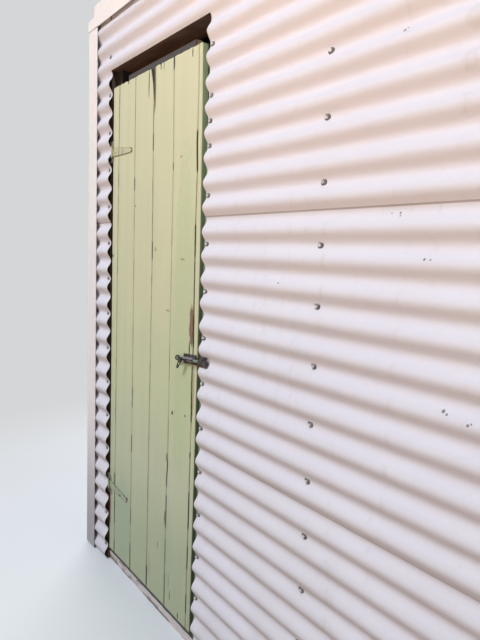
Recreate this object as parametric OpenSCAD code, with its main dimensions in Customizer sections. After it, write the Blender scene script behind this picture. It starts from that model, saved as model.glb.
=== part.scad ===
// Small timber-framed hut clad in horizontal corrugated iron, with a boarded door on
// T-hinges, a barrel bolt, corner trims and a single-pitch iron roof behind a capping.
// Lengths are in millimetres. The hut is drawn from the centre line of the hinge stud
// (x = 0), the outer face of the front studs (y = 0) and the ground (z = 0), and is then
// moved so that the origin is below the middle of its box.

/* [Hut] */
// Length over the outer faces of the end studs
frame_len = 3562; // [2600:10:4800]
// Depth over the outer faces of the front and back studs
frame_dep = 2300; // [1800:10:3000]
// Height of the corner trims and of the lower edge of the front capping
wall_top = 2343; // [2280:1:2700]
// How far the roof falls from front to back
roof_fall = 260; // [120:5:400]
// Distance from the left corner's stud face to the hinge stud's centre line
corner_to_hinge = 163; // [120:1:600]
// Overhang of the roof past the back studs
back_overhang = 60; // [30:5:150]

/* [Corrugated iron] */
// Pitch of the corrugations
pitch = 76.2; // [60:0.1:90]
// Depth of the corrugations
wave = 17; // [12:0.5:22]
// Thickness of a sheet
sheet_t = 0.8; // [0.6:0.1:1.2]
// Full width of a sheet across its corrugations
sheet_wide = 838; // [760:1:920]
// Width that each sheet covers once the next one laps it
sheet_cover = 762; // [700:1:820]
// Height of the lowest edge of the wall iron
iron_foot = 2; // [1:1:20]
// Height of the lowest full valley above the ground
first_valley = 66.4; // [40:0.1:90]
// Radial play between two lapped sheets
lap_play = 0.3; // [0.2:0.1:0.6]

/* [Timber] */
// Face width of studs and door stops' backing
stud_w = 35; // [35:1:50]
// Depth of studs and plates
stud_d = 90; // [70:1:100]
// Thickness of the top and bottom plates
plate_t = 35; // [30:1:50]
// Target spacing of the studs
stud_pitch = 500; // [400:10:650]
// Height of the floor joists
joist_h = 32; // [25:1:60]
// Thickness of the floor boards
floor_t = 20; // [18:1:25]
// Cover width of a floor board
floor_board_w = 135; // [90:5:180]
// Height of the rafters
rafter_h = 90; // [70:5:140]
// Width of the rafters and joists
rafter_w = 45; // [35:1:50]
// Thickness of the roof battens
batten_t = 22; // [19:1:38]
// Width of the roof battens
batten_w = 75; // [50:5:90]

/* [Door] */
// Width of the leaf
door_w = 679; // [600:1:820]
// Height of the leaf
door_h = 2010; // [1880:1:2030]
// Distance from the hinge stud's centre line to the leaf's left edge
door_x = 32; // [32:1:50]
// Gap between the leaf's right edge and the latch stud's centre line
latch_gap = 41; // [40:1:55]
// Height of the leaf's lower edge
door_z = 58; // [56:1:90]
// Thickness of the leaf's boards
board_t = 22; // [18:1:30]
// Cover width of a full board
board_w = 149; // [100:1:180]
// Width of the ripped board on the hinge side
first_board_w = 51; // [40:1:150]
// Thickness of the ledges and braces
ledge_t = 25; // [18:1:32]
// Height of a ledge
ledge_h = 120; // [90:5:160]
// Height that the top ledge stands above the boards
ledge_rise = 37; // [10:1:45]
// Gap between the boards' top edge and the lintel
head_gap = 74; // [60:1:90]
// Clear gap between the leaf's back and the door stops
stop_gap = 5; // [5:0.5:10]

/* [Hinges and bolt] */
// Height of the upper hinge above the leaf's lower edge
upper_hinge = 1755; // [1500:5:1850]
// Height of the lower hinge above the leaf's lower edge
lower_hinge = 308; // [150:1:450]
// Reach of a strap from its pin to its tip
strap_len = 176; // [140:1:260]
// Height of a strap at its root
strap_root = 38; // [34:1:44]
// Droop of the upper strap towards its tip, in degrees
upper_droop = 3.5; // [0:0.5:6]
// Droop of the lower strap towards its tip, in degrees
lower_droop = 5; // [0:0.5:6]
// Thickness of the hinge metal
hinge_t = 2.5; // [2:0.1:3]
// Radius of a hinge pin
pin_r = 2.4; // [2:0.1:3]
// Radius of the bolt's rod
rod_r = 5; // [4:0.5:6]
// Length of the bolt's barrel
barrel_len = 62; // [54:1:80]
// Distance the bolt slides to engage
bolt_throw = 30; // [20:1:36]
// Upward slant of the bolt towards its keeper, in degrees
bolt_slant = 4; // [0:0.5:5]
// Height of the bolt's base plate
base_h = 34; // [28:1:40]
// Length of the bolt's handle
handle_len = 37; // [25:1:45]
// How far the bolt's keeper sits below the middle of its valley
keeper_drop = 4; // [0:0.5:6]

/* [Trim] */
// Width of a corner trim's legs
trim_w = 90; // [60:5:120]
// Thickness of trims, capping and barges
trim_t = 1; // [0.8:0.1:1.5]
// Height of the capping's lower step
cap_low = 45; // [35:1:60]
// Gap between the roof iron's crests and the flashings' step above them
cap_gap = 1.4; // [1:0.1:8]
// Width of the notch at each end of the capping
cap_notch = 60; // [50:1:90]

/* [Hidden] */
$fn = 48;

WHITE_IRON = "#efe9e6";
WHITE_TRIM = "#f3eff0";
DOOR_PAINT = "#b9be93";
BARE_TIMBER = "#8d7355";
WORN_WHITE = "#c9bfb8";
OLD_STEEL = "#4b3d38";

// Small clearances
play = 0.3;
trim_play = 0.2;
pin_play = 0.06;
knuckle_gap = 0.5;
rod_play = 0.5;
rod_rest_gap = 5;
valley_gap = 0.1;

// Main planes of the frame
x_l = -corner_to_hinge;
x_r = x_l + frame_len;
x_mid = x_l + frame_len / 2;
crest_out = wave + sheet_t + lap_play + sheet_t;
trim_out = crest_out + trim_play + trim_t;
cap_face = -(trim_out + 3);
barge_out = trim_out + 0.5 + trim_t;
barge_low = cap_low - 2;
y_end = frame_dep + back_overhang;
y_mid = (cap_face + y_end) / 2;
floor_z = joist_h + floor_t;
lap_out = sheet_t + lap_play;
steps_per_wave = 12;

// Roof planes: v runs down the slope from the capping's face, w stands square to it
roof_a = atan(roof_fall / frame_dep);
ledge_z = wall_top + cap_low;
rafter_top_w = -trim_t - play;
batten_top_w = rafter_top_w + batten_t;
cap_step = batten_top_w + wave + lap_out + sheet_t + cap_gap + trim_t;
cap_w = cap_step + play + trim_t;
roof_v = (y_end - cap_face) / cos(roof_a) - 8;
function roof_line(y, w) = ledge_z + w / cos(roof_a) - tan(roof_a) * (y - cap_face);
front_plate_z = ceil(roof_line(stud_d / 2, rafter_top_w - rafter_h));
back_plate_z = ceil(roof_line(frame_dep - stud_d, rafter_top_w - rafter_h));

// Door opening
latch_x = door_x + door_w + latch_gap;
head_z = door_z + door_h + head_gap;
iron_cut_l = 22;
iron_cut_r = latch_x - 6;
iron_cut_head = head_z - 1;
jamb_l = stud_w / 2;
jamb_r = latch_x - stud_w / 2;
stop_w = 40;
stop_y = board_t + stop_gap;
stop_d = stud_d - stop_y - 2;
ledge_in = 24;
top_ledge_in = 92;
board_joint = 0.4;
tongue = 6;

// Hinges
axis_x = door_x - 0.5;
knuckle_r = pin_r + hinge_t;
axis_y = -(knuckle_r + 0.6);
plate_x0 = -stud_w / 2 + 4;
plate_h = 90;
knuckle_h = 46;
mid_knuckle = 22;

// Bolt: its own x runs along the rod, with zero at the keeper's left end
keeper_w = 42;
keeper_h = 34;
keeper_t = 2;
keeper_reach = keeper_h / 2 + max(keeper_drop, keeper_w * sin(bolt_slant) - keeper_drop);
keeper_x = iron_cut_r;
bolt_wave = round((door_z + 1000 - first_valley) / pitch);
keeper_valley = first_valley + bolt_wave * pitch;
keeper_z = keeper_valley - keeper_drop;
keeper_back = -(wave / 2 * (1 - cos(360 * keeper_reach / pitch)) + lap_out + sheet_t + 0.2);
rod_y = keeper_back - keeper_t / 2;
barrel_x = -36 - barrel_len;
rod_end = -rod_rest_gap;
ring_r = 7.5;
ring_wire = 2.5;
ring_x = -138;
neck_x = barrel_x - 8;
neck_r = 2.5;
neck_z = -3.5;
tab_t = 2.2;
tab_lean = 36;
handle_root = 17;
handle_tip = 11;
base_left = 18;
tab_y = rod_y - rod_r - rod_play - keeper_t - 1.2;
eye_turn = 30;

// Outline of one sheet between heights lo and hi, for a sheet whose lower edge is base
function wave_at(s, zero) = wave / 2 * (1 - cos(360 * (s - zero) / pitch));
function sheet_stops(lo, hi, zero) =
    let (step = pitch / steps_per_wave)
    concat([lo],
        [for (k = [ceil((lo - zero) / step + 0.02) : floor((hi - zero) / step - 0.02)])
            zero + k * step],
        [hi]);
function lift(s, zero, base) =
    wave_at(s, zero) + lap_out * (1 - (s - base) / sheet_wide);
function sheet_outline(base, lo, hi, zero) =
    let (stops = sheet_stops(lo, hi, zero), last = len(stops) - 1)
    concat(
        [for (i = [0 : last]) [-lift(stops[i], zero, base) - sheet_t, stops[i]]],
        [for (i = [last : -1 : 0]) [-lift(stops[i], zero, base), stops[i]]]);

// Sheets one above another, facing -x, run along -y from y = 0
module iron_rows(run, lo, hi) {
    rows = ceil((hi - iron_foot - sheet_wide + sheet_cover) / sheet_cover - 0.02);
    rotate([90, 0, 0])
        for (i = [0 : rows - 1]) {
            base = iron_foot + i * sheet_cover;
            bottom = max(lo, base);
            top = min(hi, base + sheet_wide);
            if (top - bottom > 5)
                linear_extrude(run)
                    polygon(sheet_outline(base, bottom, top, first_valley));
        }
}

// The same rows facing -y, run along x from x0 to x1
module front_rows(x0, x1, lo, hi) {
    translate([x0, 0, 0])
        rotate([0, 0, 90])
            iron_rows(x1 - x0, lo, hi);
}

// A board from one corner to the other
module block(from, to) {
    translate(from)
        cube(to - from);
}

module hut_frame() {
    translate([-x_mid, -y_mid, 0])
        children();
}

module on_roof() {
    translate([0, cap_face, ledge_z])
        rotate([-roof_a, 0, 0])
            children();
}

module mirror_ends() {
    children();
    translate([2 * x_mid, 0, 0])
        mirror([1, 0, 0])
            children();
}

// Floor

module floor_joists() {
    count = 2 * ceil(frame_len / 900) + 1;
    gap = (frame_len - 2 * stud_d - rafter_w) / (count - 1);
    color(BARE_TIMBER)
        for (i = [0 : count - 1])
            translate([x_l + stud_d + i * gap, stud_d, 0])
                cube([rafter_w, frame_dep - 2 * stud_d, joist_h]);
}

module floor_boards() {
    span = frame_dep - 2 * stud_d - 2 * play;
    count = round(span / floor_board_w);
    gap = span / count;
    color(BARE_TIMBER)
        for (i = [0 : count - 1])
            translate([x_l + stud_d + play, stud_d + play + i * gap, joist_h])
                cube([frame_len - 2 * (stud_d + play), gap - 1.5, floor_t]);
}

// Wall frames

module front_plates() {
    color(BARE_TIMBER) {
        block([x_l, 0, 0], [jamb_l, stud_d, plate_t]);
        block([jamb_r, 0, 0], [x_r, stud_d, plate_t]);
        block([x_l, 0, front_plate_z - plate_t], [x_r, stud_d, front_plate_z]);
    }
}

module stud(x, z_top, w = stud_w) {
    block([x - w / 2, 0, plate_t], [x + w / 2, stud_d, z_top]);
}

module hinge_recess(z) {
    block([plate_x0 - trim_play, -1, z - plate_h / 2 - trim_play],
        [stud_w, hinge_t + trim_play, z + plate_h / 2 + trim_play]);
}

module front_studs() {
    top = front_plate_z - plate_t;
    rest = x_r - stud_d - latch_x;
    bays = round(rest / stud_pitch);
    color(BARE_TIMBER) {
        stud(x_l + stud_d / 2, top, stud_d);
        difference() {
            stud(0, top);
            hinge_recess(door_z + upper_hinge);
            hinge_recess(door_z + lower_hinge);
        }
        for (i = [0 : bays - 1])
            stud(latch_x + i * rest / bays, top);
        stud(x_r - stud_d / 2, top, stud_d);
    }
}

module lintel() {
    color(BARE_TIMBER)
        block([jamb_l, 0, head_z], [jamb_r, stud_d, front_plate_z - plate_t]);
}

module door_sill() {
    color(WORN_WHITE)
        block([jamb_l, 9, 0], [jamb_r, stud_d, floor_z]);
}

module door_stops() {
    color(BARE_TIMBER) {
        block([jamb_l, stop_y, floor_z], [jamb_l + stop_w, stop_y + stop_d, head_z]);
        block([jamb_r - stop_w, stop_y, floor_z], [jamb_r, stop_y + stop_d, head_z]);
    }
}

module back_plates() {
    color(BARE_TIMBER) {
        block([x_l, frame_dep - stud_d, 0], [x_r, frame_dep, plate_t]);
        block([x_l, frame_dep - stud_d, back_plate_z - plate_t],
            [x_r, frame_dep, back_plate_z]);
    }
}

module back_studs() {
    bays = round(frame_len / 600);
    gap = (frame_len - stud_d) / bays;
    color(BARE_TIMBER)
        for (i = [0 : bays])
            translate([0, frame_dep - stud_d, 0])
                stud(x_l + stud_d / 2 + i * gap, back_plate_z - plate_t,
                    i == 0 || i == bays ? stud_d : stud_w);
}

module end_plates() {
    color(BARE_TIMBER)
        mirror_ends()
            block([x_l, stud_d, 0], [x_l + stud_d, frame_dep - stud_d, plate_t]);
}

// Studs of the left end, each cut under the sloping rafter
module end_studs() {
    bays = round(frame_dep / 600);
    gap = (frame_dep - stud_d) / bays;
    color(BARE_TIMBER)
        for (i = [1 : bays - 1]) {
            y = stud_d / 2 + i * gap;
            block([x_l, y - stud_w / 2, plate_t],
                [x_l + stud_d, y + stud_w / 2,
                roof_line(y + stud_w / 2, rafter_top_w - rafter_h)]);
        }
}

module left_studs() {
    end_studs();
}

module right_studs() {
    translate([2 * x_mid, 0, 0])
        mirror([1, 0, 0])
            end_studs();
}

// Roof frame

module rim_boards() {
    rim_t = stud_d / 2;
    color(BARE_TIMBER) {
        block([x_l, 0, front_plate_z], [x_r, rim_t, roof_line(rim_t, rafter_top_w)]);
        block([x_l, frame_dep - rim_t, back_plate_z],
            [x_r, frame_dep, roof_line(frame_dep, rafter_top_w)]);
    }
}

module rafter(x) {
    y0 = stud_d / 2;
    y1 = frame_dep - stud_d / 2;
    low = rafter_top_w - rafter_h;
    difference() {
        translate([x - rafter_w / 2, 0, 0])
            rotate([90, 0, 90])
                linear_extrude(rafter_w)
                    polygon([[y0, roof_line(y0, low)], [y1, roof_line(y1, low)],
                        [y1, roof_line(y1, rafter_top_w)],
                        [y0, roof_line(y0, rafter_top_w)]]);
        block([x_l - 1, -1, 0], [x_r + 1, stud_d, front_plate_z]);
        block([x_l - 1, frame_dep - stud_d, 0], [x_r + 1, frame_dep + 1, back_plate_z]);
    }
}

module rafters() {
    bays = round(frame_len / 600);
    gap = (frame_len - rafter_w) / bays;
    color(BARE_TIMBER)
        for (i = [0 : bays])
            rafter(x_l + rafter_w / 2 + i * gap);
}

module battens() {
    rows = ceil(frame_dep / 600);
    run = (frame_dep / cos(roof_a) - batten_w - 4) / rows;
    v0 = -cap_face + 4;
    x0 = cap_notch - barge_out + play + trim_t;
    color(BARE_TIMBER)
        on_roof()
            for (i = [0 : rows])
                translate([x_l + x0, v0 + i * run, rafter_top_w])
                    cube([frame_len - 2 * x0, batten_w, batten_t]);
}

// Wall and roof iron

module front_iron_left() {
    color(WHITE_IRON)
        front_rows(x_l, iron_cut_l, iron_foot, wall_top + 18);
}

module front_iron_over_door() {
    color(WHITE_IRON)
        front_rows(iron_cut_l + trim_play, iron_cut_r - trim_play,
            iron_cut_head, wall_top + 18);
}

// Its middle sheet is in two pieces that meet at the valley behind the bolt's keeper
module front_iron_right() {
    color(WHITE_IRON) {
        front_rows(iron_cut_r, x_r, iron_foot, keeper_valley - valley_gap);
        front_rows(iron_cut_r, x_r, keeper_valley + valley_gap, wall_top + 18);
    }
}

module back_iron() {
    color(WHITE_IRON)
        translate([0, frame_dep, 0])
            mirror([0, 1, 0])
                front_rows(x_l, x_r, iron_foot, roof_line(frame_dep, rafter_top_w) - 5);
}

// The left end's rows, cut along the slope just below the barge's ledge
module end_iron() {
    color(WHITE_IRON)
        intersection() {
            translate([x_l, frame_dep, 0])
                iron_rows(frame_dep, iron_foot, wall_top + 18);
            translate([x_l - 2 * crest_out, 0, 0])
                rotate([90, 0, 90])
                    linear_extrude(4 * crest_out)
                        polygon([[0, 0], [frame_dep, 0],
                            [frame_dep, roof_line(frame_dep, -8)],
                            [0, roof_line(0, -8)]]);
        }
}

module left_iron() {
    end_iron();
}

module right_iron() {
    translate([2 * x_mid, 0, 0])
        mirror([1, 0, 0])
            end_iron();
}

// Roof sheets side by side, crests up, each lapping the one on its right
module roof_iron() {
    x0 = x_l - barge_out + cap_notch + trim_t + play;
    x1 = 2 * x_mid - x0;
    count = ceil((x1 - x0 - sheet_wide + sheet_cover) / sheet_cover - 0.02);
    color(WHITE_IRON)
        on_roof()
            translate([0, roof_v, batten_top_w])
                rotate([90, 0, 0])
                    linear_extrude(roof_v - 6)
                        for (i = [0 : count - 1]) {
                            base = x0 + i * sheet_cover;
                            mirror([0, 1, 0])
                                rotate(90)
                                    mirror([0, 1, 0])
                                        polygon(sheet_outline(base, base,
                                            min(x1, base + sheet_wide), x0 + pitch / 2));
                        }
}

// Flashings

// A folded angle for the front left corner, its legs lying over the crests
module corner_angle(height) {
    out = trim_out;
    translate([x_l - out, -out, 4])
        linear_extrude(height - 4.5)
            polygon([[0, 0], [trim_w, 0], [trim_w, trim_t], [trim_t, trim_t],
                [trim_t, trim_w], [0, trim_w]]);
}

module corner_trims() {
    color(WHITE_TRIM)
        mirror_ends() {
            corner_angle(wall_top);
            translate([0, frame_dep, 0])
                mirror([0, 1, 0])
                    corner_angle(roof_line(y_end, -cap_low));
        }
}

// Face with a turned-in drip, and a top leg that follows the roof; both ends are
// notched so that only the lower step crosses the barge
module front_capping() {
    x0 = x_l - barge_out;
    x1 = 2 * x_mid - x0;
    top = roof_line(cap_face, cap_w);
    leg = 110;
    under = roof_line(cap_face, cap_w - trim_t);
    color(WHITE_TRIM)
        difference() {
            translate([x0, 0, 0])
                rotate([90, 0, 90])
                    linear_extrude(x1 - x0)
                        polygon([[cap_face + 4.5, wall_top], [cap_face, wall_top],
                            [cap_face, top],
                            [cap_face + leg, top - leg * tan(roof_a)],
                            [cap_face + leg, under - leg * tan(roof_a)],
                            [cap_face + trim_t, under - trim_t * tan(roof_a)],
                            [cap_face + trim_t, wall_top + trim_t],
                            [cap_face + 4.5, wall_top + trim_t]]);
            mirror_ends()
                block([x0 - 1, cap_face - 1, ledge_z], [x0 + cap_notch, leg, top + 1]);
        }
}

// Stepped flashing along the left end: down over the iron, in across the rafter,
// up past the edge of the roof iron and over its first crest
module barge() {
    x0 = x_l - barge_out;
    x1 = x0 + cap_notch;
    x2 = x1 + 56;
    color(WHITE_TRIM)
        intersection() {
            on_roof()
                translate([0, roof_v + 100, 0])
                    rotate([90, 0, 0])
                        linear_extrude(roof_v + 200)
                            polygon([[x0, -barge_low], [x0, 0], [x1, 0], [x1, cap_step],
                                [x2, cap_step], [x2, cap_step - trim_t],
                                [x1 + trim_t, cap_step - trim_t], [x1 + trim_t, -trim_t],
                                [x0 + trim_t, -trim_t], [x0 + trim_t, -barge_low]]);
            block([x0 - 1, cap_face + trim_t, 0], [x2 + 1, y_end, ledge_z + 2 * cap_low]);
        }
}

module left_barge() {
    barge();
}

module right_barge() {
    translate([2 * x_mid, 0, 0])
        mirror([1, 0, 0])
            barge();
}

// Hinges

// Fixed plate, let in flush with the stud, with the outer two knuckles
module hinge_plate(z) {
    side = (knuckle_h - mid_knuckle) / 2 - knuckle_gap;
    color(DOOR_PAINT)
        difference() {
            union() {
                block([plate_x0, 0, z - plate_h / 2], [jamb_l + 8, hinge_t, z + plate_h / 2]);
                for (z0 = [z - knuckle_h / 2, z + knuckle_h / 2 - side]) {
                    translate([axis_x, axis_y, z0])
                        cylinder(r = knuckle_r, h = side);
                    block([jamb_l + 7, 0, z0], [door_x - 2.5, hinge_t, z0 + side]);
                    block([axis_x - knuckle_r, axis_y, z0], [door_x - 2.5, hinge_t, z0 + side]);
                }
            }
            translate([axis_x, axis_y, z - knuckle_h])
                cylinder(r = pin_r + pin_play, h = 2 * knuckle_h);
        }
}

module upper_hinge_plate() {
    hinge_plate(door_z + upper_hinge);
}

module lower_hinge_plate() {
    hinge_plate(door_z + lower_hinge);
}

module hinge_pins() {
    color(OLD_STEEL)
        for (z = [door_z + upper_hinge, door_z + lower_hinge])
            translate([axis_x, axis_y, z - knuckle_h / 2 - 1.5]) {
                cylinder(r = pin_r, h = knuckle_h + 3);
                translate([0, 0, knuckle_h + 1.8])
                    cylinder(r = pin_r + 1.2, h = 1.8);
            }
}

// Tapered strap with a round tip, a pressed band near its root and the middle knuckle;
// the strap droops a little from the pin to its tip
module hinge_strap(z, droop) {
    tip_r = 9.5;
    root = strap_root / 2;
    root_x = knuckle_r + 2.5;
    tip_x = strap_len - tip_r;
    color(DOOR_PAINT)
        difference() {
            union() {
                translate([axis_x, 0, z])
                    rotate([90, droop, 0]) {
                        linear_extrude(hinge_t) {
                            polygon([[root_x, -root], [tip_x, -tip_r], [tip_x, tip_r],
                                [root_x, root]]);
                            translate([tip_x, 0])
                                circle(r = tip_r);
                        }
                        linear_extrude(hinge_t + 1)
                            polygon([[40, -root + 3], [80, -root + 7],
                                [80, root - 7], [40, root - 3]]);
                    }
                translate([axis_x, axis_y, z - mid_knuckle / 2])
                    cylinder(r = knuckle_r, h = mid_knuckle);
                block([axis_x, -hinge_t, z - mid_knuckle / 2],
                    [axis_x + root_x + 2.5, 0, z + mid_knuckle / 2]);
            }
            translate([axis_x, axis_y, z - knuckle_h])
                cylinder(r = pin_r + pin_play, h = 2 * knuckle_h);
        }
}

module upper_hinge_strap() {
    hinge_strap(door_z + upper_hinge, upper_droop);
}

module lower_hinge_strap() {
    hinge_strap(door_z + lower_hinge, lower_droop);
}

// Door leaf

// Plan outline of one board, with a V-edge on the face, a tongue on its right side
// unless it is the last board, and a groove on its left side unless it is the first
module door_board(x0, x1, first, last) {
    v = 1.8;
    t0 = board_t / 2 - tongue / 2;
    t1 = board_t / 2 + tongue / 2;
    linear_extrude(door_h)
        difference() {
            union() {
                polygon([[x0, v], [x0 + v, 0], [x1 - v, 0], [x1, v],
                    [x1, board_t], [x0, board_t]]);
                if (!last)
                    translate([x1 - 1, t0])
                        square([tongue + 1, tongue]);
            }
            if (!first)
                translate([x0 - 1, t0 - board_joint])
                    square([tongue + 1 + board_joint, tongue + 2 * board_joint]);
        }
}

module door_boards() {
    full = floor((door_w - first_board_w) / board_w);
    color(DOOR_PAINT)
        translate([door_x, 0, door_z]) {
            door_board(0, first_board_w - board_joint, true, false);
            for (i = [0 : full - 1])
                door_board(first_board_w + i * board_w,
                    first_board_w + (i + 1) * board_w - board_joint, false, false);
            door_board(first_board_w + full * board_w, door_w, false, true);
        }
}

function ledge_z0(i) =
    [door_z + lower_hinge - ledge_h / 2, door_z + (lower_hinge + upper_hinge - ledge_h) / 2,
    door_z + upper_hinge - ledge_h / 2][i];

module ledge(inset, z0) {
    block([door_x + inset, board_t, z0],
        [door_x + door_w - inset, board_t + ledge_t, z0 + ledge_h]);
}

// Three that the braces run between, and a shorter one that stands above the boards
module door_ledges() {
    color(DOOR_PAINT) {
        for (i = [0 : 2])
            ledge(ledge_in + stop_w / 2, ledge_z0(i));
        ledge(top_ledge_in, door_z + door_h + ledge_rise - ledge_h);
    }
}

// Two braces, each rising from the hinge side to the latch side
module door_braces() {
    foot = door_x + ledge_in + stop_w / 2 + 20;
    head = door_x + door_w - ledge_in - stop_w / 2 - 20;
    w = 105;
    color(DOOR_PAINT)
        for (i = [0, 1]) {
            z0 = ledge_z0(i) + ledge_h;
            z1 = ledge_z0(i + 1);
            translate([0, board_t + ledge_t, 0])
                rotate([90, 0, 0])
                    linear_extrude(ledge_t)
                        polygon([[foot, z0], [foot + w, z0], [head, z1], [head - w, z1]]);
        }
}

// Bolt

module on_bolt_line() {
    translate([keeper_x, 0, keeper_z])
        rotate([0, -bolt_slant, 0])
            children();
}

// An arch over the rod between x0 and x1, standing on two flanges at depth foot_y
module rod_arch(x0, x1, foot_y, height, inner) {
    outer = inner + keeper_t;
    translate([x0, 0, 0])
        rotate([90, 0, 90])
            linear_extrude(x1 - x0)
                difference() {
                    union() {
                        translate([rod_y, 0])
                            circle(r = outer);
                        translate([rod_y, -outer])
                            square([foot_y - rod_y, 2 * outer]);
                        translate([foot_y - keeper_t, -height / 2])
                            square([keeper_t, height]);
                    }
                    translate([rod_y, 0])
                        circle(r = inner);
                    translate([rod_y, -inner])
                        square([foot_y - rod_y + 1, 2 * inner]);
                    translate([foot_y, -outer - 1])
                        square(2 * outer + 2);
                }
}

module bolt_keeper() {
    inner = rod_r + 2 * rod_play;
    color(OLD_STEEL)
        on_bolt_line()
            rod_arch(0, keeper_w, keeper_back, keeper_h, inner);
}

// Plate on the leaf with a barrel over the rod, slotted for the handle's neck
module bolt_base() {
    inner = rod_r + rod_play;
    slot = 7;
    color(OLD_STEEL)
        on_bolt_line()
            difference() {
                union() {
                    rod_arch(barrel_x, barrel_x + barrel_len, 0, base_h, inner);
                    block([barrel_x - base_left, -keeper_t, -base_h / 2],
                        [barrel_x + barrel_len, 0, base_h / 2]);
                }
                translate([barrel_x - 10, rod_y - 20, -slot])
                    cube([bolt_throw + 12, 20, slot]);
            }
}

// A flat bar between two round ends, hanging down from the origin
module tab_outline(l, root, tip) {
    a = asin((root - tip) / 2 / l);
    x0 = root / 2 * cos(a);
    x1 = tip / 2 * cos(a);
    z0 = root / 2 * sin(a);
    z1 = tip / 2 * sin(a) - l;
    circle(r = root / 2);
    polygon([[x0, z0], [x1, z1], [-x1, z1], [-x0, z0]]);
    translate([0, -l])
        circle(r = tip / 2);
}

// Rod with a round eye on its left end and a slotted handle hanging from its neck
module bolt_rod() {
    rim = ring_x + ring_r * cos(eye_turn) - 1;
    color(OLD_STEEL)
        on_bolt_line() {
            translate([rim, rod_y, 0])
                rotate([0, 90, 0])
                    cylinder(r = rod_r, h = rod_end - rim);
            translate([ring_x, rod_y, 0])
                rotate([0, 0, eye_turn])
                    rotate([90, 0, 0])
                        rotate_extrude()
                            translate([ring_r, 0])
                                circle(r = ring_wire);
            translate([neck_x, rod_y, neck_z])
                rotate([90, 0, 0])
                    cylinder(r = neck_r, h = rod_y - tab_y + tab_t / 2);
            translate([neck_x, tab_y, neck_z])
                rotate([90, tab_lean, 0])
                    linear_extrude(tab_t)
                        difference() {
                            tab_outline(handle_len - handle_tip / 2, handle_root, handle_tip);
                            translate([0, -handle_root * 0.8])
                                tab_outline(handle_len - handle_tip - handle_root * 0.8,
                                    handle_root * 0.42, handle_tip * 0.4);
                        }
        }
}

hut_frame() floor_joists();
hut_frame() floor_boards();
hut_frame() front_plates();
hut_frame() front_studs();
hut_frame() lintel();
hut_frame() door_sill();
hut_frame() door_stops();
hut_frame() back_plates();
hut_frame() back_studs();
hut_frame() end_plates();
hut_frame() left_studs();
hut_frame() right_studs();
hut_frame() rim_boards();
hut_frame() rafters();
hut_frame() battens();
hut_frame() front_iron_left();
hut_frame() front_iron_over_door();
hut_frame() front_iron_right();
hut_frame() back_iron();
hut_frame() left_iron();
hut_frame() right_iron();
hut_frame() roof_iron();
hut_frame() corner_trims();
hut_frame() front_capping();
hut_frame() left_barge();
hut_frame() right_barge();
hut_frame() upper_hinge_plate();
hut_frame() lower_hinge_plate();
hut_frame() hinge_pins();
hut_frame() bolt_keeper();
hut_frame() door_boards();
hut_frame() door_ledges();
hut_frame() door_braces();
hut_frame() upper_hinge_strap();
hut_frame() lower_hinge_strap();
hut_frame() bolt_base();
hut_frame() bolt_rod();
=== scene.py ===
# %% [markdown]
# A small hut of corrugated iron on a timber frame, with a boarded green door. The packed
# model gives every part its true place. Here the iron, the door's boards and the sill get
# the fine shape that they have on the real hut, and every part gets its finish.

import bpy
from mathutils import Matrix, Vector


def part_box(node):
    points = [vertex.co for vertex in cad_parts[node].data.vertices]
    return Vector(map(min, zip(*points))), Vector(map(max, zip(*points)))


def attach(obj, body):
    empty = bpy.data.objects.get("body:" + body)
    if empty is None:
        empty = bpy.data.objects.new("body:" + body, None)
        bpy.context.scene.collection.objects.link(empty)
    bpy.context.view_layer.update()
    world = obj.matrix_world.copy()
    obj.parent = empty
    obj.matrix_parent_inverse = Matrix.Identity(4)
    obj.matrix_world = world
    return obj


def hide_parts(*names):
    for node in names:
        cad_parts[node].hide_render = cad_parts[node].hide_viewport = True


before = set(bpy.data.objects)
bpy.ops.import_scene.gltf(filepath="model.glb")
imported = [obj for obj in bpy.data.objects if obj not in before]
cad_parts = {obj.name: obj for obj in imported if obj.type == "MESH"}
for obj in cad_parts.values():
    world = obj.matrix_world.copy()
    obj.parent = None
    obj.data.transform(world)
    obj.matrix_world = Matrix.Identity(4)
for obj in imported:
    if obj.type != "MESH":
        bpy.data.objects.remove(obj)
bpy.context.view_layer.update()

# %% [markdown]
# The hut was drawn in millimetres from the centre line of the hinge stud, the outer face
# of the front studs and the level that it stands on. The new pieces could be drawn in the
# model's metres, but in the numbers of the drawing each of them lies on what carries it
# without any sums. So they are made there, and one matrix takes a finished mesh home.
# PITCH and WAVE are the iron's wave, LAP_OUT is how far a lap pushes a sheet out, and the
# three CUT_ values are the doorway in the iron.

# %% Places and sizes
import math
import random

import bmesh
import bpy
from mathutils import Matrix, Vector, noise

ORIGIN_X, ORIGIN_Y = 1618.0, 1168.45
HOME = Matrix.Scale(0.001, 4) @ Matrix.Translation((-ORIGIN_X, -ORIGIN_Y, 0.0))
PITCH, WAVE, SHEET_T = 76.2, 17.0, 0.8
SHEET_WIDE, SHEET_COVER, LAP_OUT = 838.0, 762.0, 1.1
FIRST_VALLEY, IRON_FOOT = 66.4, 2.0
LEFT, RIGHT, DEPTH, IRON_TOP, BACK_TOP = -163.0, 3399.0, 2300.0, 2361.0, 2119.1
CUT_LEFT, CUT_RIGHT, CUT_HEAD = 22.0, 746.0, 2141.0
DOOR_LEFT, DOOR_RIGHT, DOOR_FOOT, DOOR_TOP, BOARD_T = 32.0, 711.0, 58.0, 2068.0, 22.0
ROOF_SLOPE, ROOF_LEFT, ROOF_RIGHT, ROOF_LONG = math.radians(6.449), -123.3, 3359.3, 2390.3
ROOF_FRONT, ROOF_HIGH, ROOF_LIFT = -23.1, 2388.0, 20.7


def metres(x, y, z):
    """A place of the drawing, in millimetres, as the model has it, in metres."""
    return HOME @ Vector((x, y, z))


print("door's lower left corner:", [round(n, 4) for n in metres(DOOR_LEFT, 0, DOOR_FOOT)])

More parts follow.
